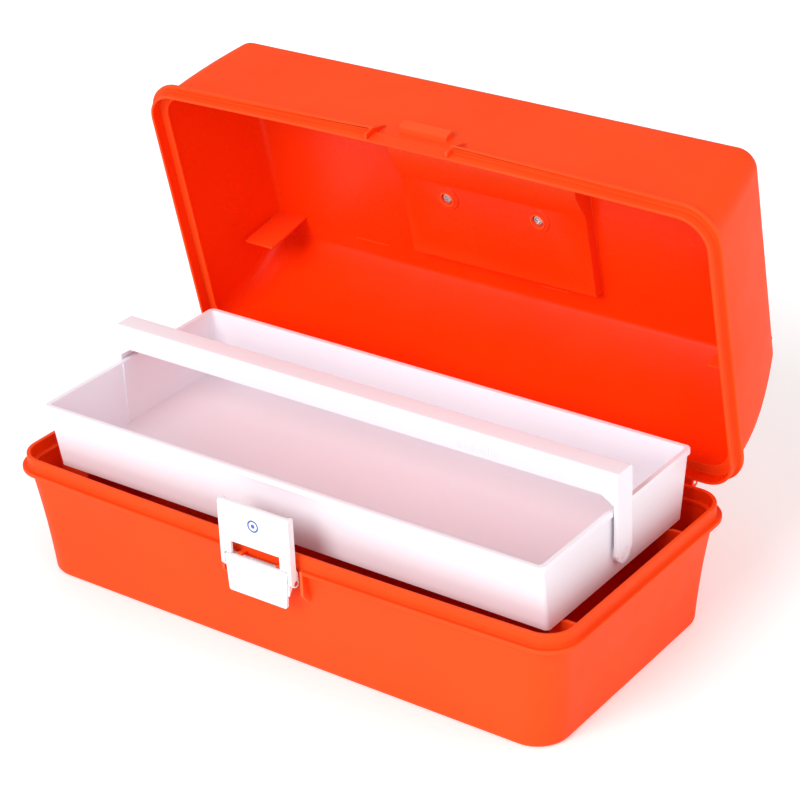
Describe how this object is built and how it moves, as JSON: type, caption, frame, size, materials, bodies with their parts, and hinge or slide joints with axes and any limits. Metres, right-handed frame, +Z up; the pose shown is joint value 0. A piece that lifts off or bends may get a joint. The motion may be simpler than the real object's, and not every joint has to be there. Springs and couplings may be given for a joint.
{
  "type": "toolbox with tray",
  "caption": "Moulded plastic toolbox, hinged lid with folding carry handle, lift-out tray with a bar handle, and a lever latch on the front.",
  "frame": {"origin": "middle of the underside of the base", "axes": "+X along the length, to the right seen from the front; +Y from the front latch to the hinge; +Z up. Stored open, with the lid back on its stop."},
  "size_m": [0.4036, 0.2697, 0.2783],
  "materials": {
    "orange_moulding": "fine moulded grain outside, smoother and glossier inside",
    "white_moulding": "smooth semi-gloss",
    "white_latch": "smooth semi-gloss",
    "steel": "plain zinc-plated steel"
  },
  "bodies": {
    "base": {"base_tub": "orange_moulding", "hinge_pin_left": "steel", "hinge_pin_right": "steel", "latch_lever_pin": "steel"},
    "lid": {"lid_shell": "orange_moulding", "handle_bracket_left": "white_moulding", "handle_bracket_right": "white_moulding", "handle_screw_left": "steel", "handle_screw_right": "steel"},
    "carry_handle": {"carry_handle": "white_moulding"},
    "tray": {"tray": "white_moulding"},
    "tray_handle": {"tray_handle": "white_moulding"},
    "lever": {"latch_lever": "white_latch", "latch_stud_left": "steel", "latch_stud_right": "steel"},
    "clasp": {"latch_clasp": "white_latch"}
  },
  "joints": [
    {"name": "lid_hinge", "type": "hinge", "parent": "base", "child": "lid", "pos_m": [0, 0.1004, 0.077], "axis": [-1, 0, 0], "range_deg": [-78, 0]},
    {"name": "tray_lift", "type": "slide", "parent": "base", "child": "tray", "axis": [0, 0, 1], "range_m": [0, 0.07]},
    {"name": "tray_handle_tilt", "type": "hinge", "parent": "tray", "child": "tray_handle", "pos_m": [0, 0, 0.084], "axis": [1, 0, 0], "range_deg": [-12, 12]},
    {"name": "latch_lever_swing", "type": "hinge", "parent": "base", "child": "lever", "pos_m": [0, -0.0982, 0.07], "axis": [-1, 0, 0], "range_deg": [-6, 80]},
    {"name": "latch_clasp_swing", "type": "hinge", "parent": "lever", "child": "clasp", "pos_m": [0, -0.0982, 0.0636], "axis": [-1, 0, 0], "range_deg": [-125.7, 9.5]},
    {"name": "carry_handle_swing", "type": "hinge", "parent": "lid", "child": "carry_handle", "pos_m": [0, 0.14954, 0.1998], "axis": [-1, 0, 0], "range_deg": [0, 90]}
  ],
  "couplings": [
    {"joint": "latch_clasp_swing", "follows": "latch_lever_swing", "ratio": -1.57}
  ]
}
